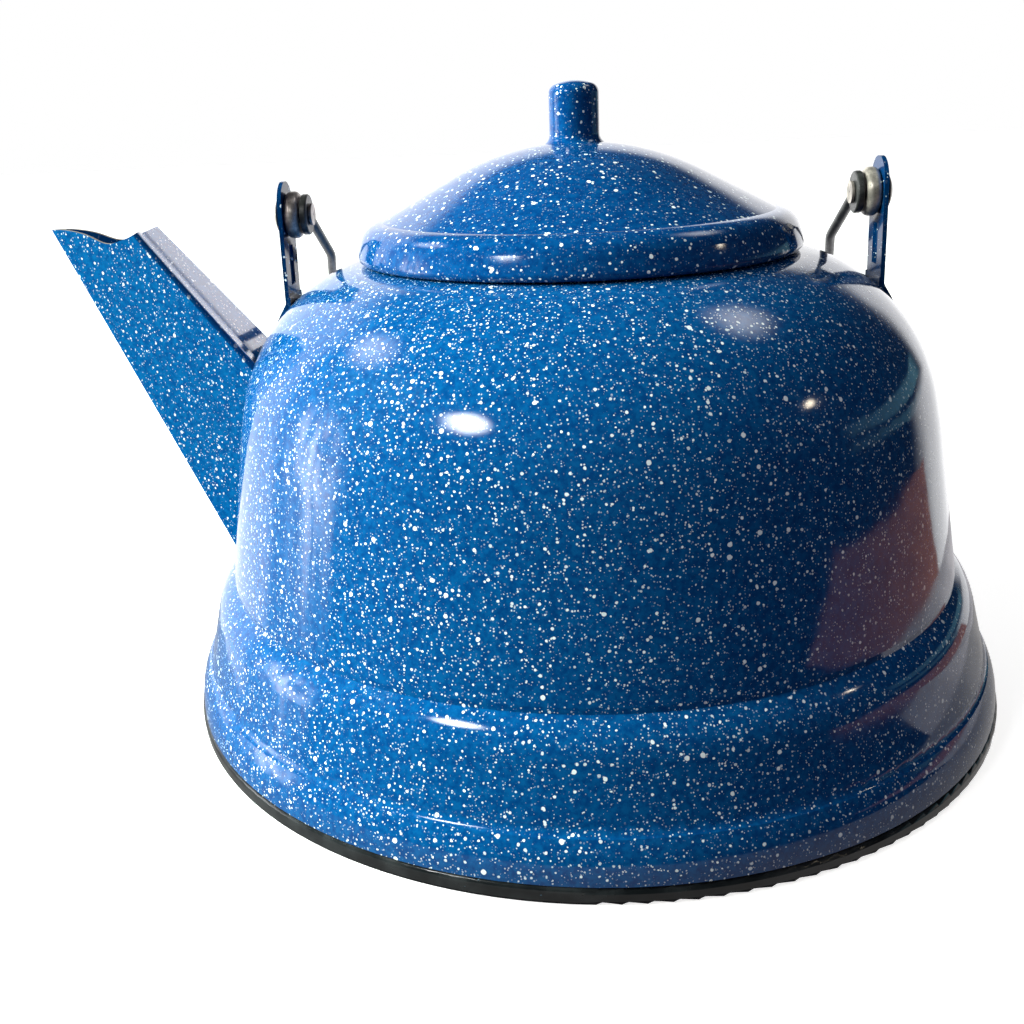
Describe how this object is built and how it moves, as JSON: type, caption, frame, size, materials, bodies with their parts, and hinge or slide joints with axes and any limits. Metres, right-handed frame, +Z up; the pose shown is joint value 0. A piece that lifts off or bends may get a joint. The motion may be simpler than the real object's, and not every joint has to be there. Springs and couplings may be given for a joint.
{
  "type": "coffee pot",
  "caption": "Enamelled steel coffee pot with a flared base, a V-section spout, a lift-off lid with a knob, and a folding wire bail with a wooden grip.",
  "frame": {"origin": "centre of the foot hoop on the surface that the pot stands on", "axes": "+Z up, the spout points along -X, +Y is the side where the folded bail lies"},
  "size_m": [0.2536, 0.221, 0.1622],
  "materials": {
    "blue_enamel": "gloss",
    "black_enamel": "gloss",
    "steel": "satin",
    "grip_wood": "satin"
  },
  "bodies": {
    "pot": {"body_shell": "blue_enamel", "base_pan": "blue_enamel", "foot_hoop": "black_enamel", "spout": "blue_enamel", "right_ear": "blue_enamel", "left_ear": "blue_enamel", "right_spacer": "steel", "left_spacer": "steel", "right_rivet": "steel", "left_rivet": "steel"},
    "bail": {"bail_wire": "steel", "right_grip_washer": "steel", "left_grip_washer": "steel"},
    "grip": {"grip": "grip_wood"},
    "lid": {"lid_shell": "blue_enamel", "lid_collar": "blue_enamel", "lid_knob": "blue_enamel", "knob_stem": "steel"}
  },
  "joints": [
    {"name": "bail_fold", "type": "hinge", "parent": "pot", "child": "bail", "pos_m": [0, 0, 0.131], "axis": [1, 0, 0], "range_deg": [0, 236]},
    {"name": "grip_spin", "type": "hinge", "parent": "bail", "child": "grip", "pos_m": [0, 0.10198, 0.07678], "axis": [1, 0, 0], "continuous": true},
    {"name": "lid_lift", "type": "slide", "parent": "pot", "child": "lid", "axis": [0, 0, 1], "range_m": [0, 0.06]}
  ]
}
